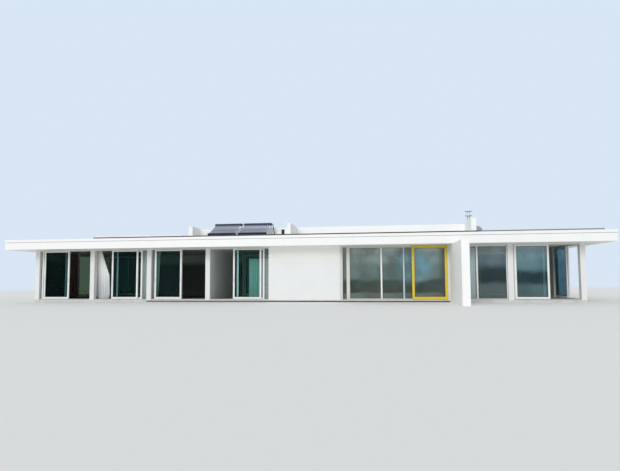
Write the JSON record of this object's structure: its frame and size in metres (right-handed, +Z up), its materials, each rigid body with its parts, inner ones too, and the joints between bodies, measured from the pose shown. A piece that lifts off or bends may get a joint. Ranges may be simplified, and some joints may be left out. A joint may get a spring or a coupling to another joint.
{
  "type": "beach house",
  "caption": "Long single-storey beach house: flat white roof with deep overhang, sliding glass bays between columns, fin wall and roof collectors.",
  "frame": {"origin": "bottom centre of the whole house, at ground level", "axes": "+X along the front to the right, +Y from the glass front to the back, +Z up"},
  "size_m": [27.145, 9.46, 4.15],
  "materials": {
    "white_render": "smooth painted plaster",
    "white_board": "satin",
    "concrete": "floated",
    "dark_membrane": "matt",
    "galvanised": "satin",
    "dark_pipe": "matt",
    "grey_dome": "satin",
    "dark_manifold": "matt",
    "solar_glass": "gloss",
    "collector_rails": "satin",
    "beige_frame": "satin",
    "sill_metal": "satin",
    "white_frame": "satin",
    "yellow_frame": "satin",
    "tinted_glass": "gloss",
    "curtain_cloth": "plain weave"
  },
  "bodies": {
    "house": {"floor_slab": "concrete", "columns": "white_render", "front_wall": "white_render", "fin_wall": "white_render", "rear_wall": "white_render", "side_walls": "white_render", "partition_wall": "white_render", "roof_slab": "white_render", "front_fascia": "white_board", "back_fascia": "white_board", "end_fascias": "white_board", "cap_flashings": "white_board", "raised_deck": "dark_membrane", "deck_kerb": "white_board", "blade_walls": "white_render", "chimney_wall": "white_render", "upper_roof_walls": "white_render", "upper_roof_slab": "white_render", "flue_cowl": "galvanised", "vent_pipe": "dark_pipe", "domed_vent": "grey_dome", "solar_manifolds": "dark_manifold", "solar_tubes": "solar_glass", "solar_frames": "collector_rails", "door_heads": "beige_frame", "door_sills": "sill_metal", "left_wing_panes": "white_frame", "centre_panes": "beige_frame", "right_wing_panes": "white_frame", "rear_panes": "white_frame", "front_glass": "tinted_glass", "rear_glass": "tinted_glass", "curtains": "curtain_cloth"},
    "leaf_a": {"leaf_a_frame": "white_frame", "leaf_a_glass": "tinted_glass"},
    "leaf_b": {"leaf_b_frame": "white_frame", "leaf_b_glass": "tinted_glass"},
    "leaf_c": {"leaf_c_frame": "white_frame", "leaf_c_glass": "tinted_glass"},
    "leaf_d": {"leaf_d_frame": "white_frame", "leaf_d_glass": "tinted_glass"},
    "yellow_leaf": {"yellow_leaf_frame": "yellow_frame", "yellow_leaf_glass": "tinted_glass"},
    "right_leaf": {"right_leaf_frame": "white_frame", "right_leaf_glass": "tinted_glass"},
    "side_leaf": {"side_leaf_frame": "white_frame", "side_leaf_glass": "tinted_glass"}
  },
  "joints": [
    {"name": "leaf_a_slide", "type": "slide", "parent": "house", "child": "leaf_a", "axis": [1, 0, 0], "range_m": [-0.205, 1.125]},
    {"name": "leaf_b_slide", "type": "slide", "parent": "house", "child": "leaf_b", "axis": [1, 0, 0], "range_m": [-0.86, 0.47]},
    {"name": "leaf_c_slide", "type": "slide", "parent": "house", "child": "leaf_c", "axis": [1, 0, 0], "range_m": [-0.15, 1.18]},
    {"name": "leaf_d_slide", "type": "slide", "parent": "house", "child": "leaf_d", "axis": [1, 0, 0], "range_m": [-1.09, 0.35]},
    {"name": "yellow_leaf_slide", "type": "slide", "parent": "house", "child": "yellow_leaf", "axis": [1, 0, 0], "range_m": [-1.39, 0]},
    {"name": "right_leaf_slide", "type": "slide", "parent": "house", "child": "right_leaf", "axis": [1, 0, 0], "range_m": [-0.06, 1.205]},
    {"name": "side_leaf_slide", "type": "slide", "parent": "house", "child": "side_leaf", "axis": [0, 1, 0], "range_m": [-1.275, 0.02]}
  ]
}
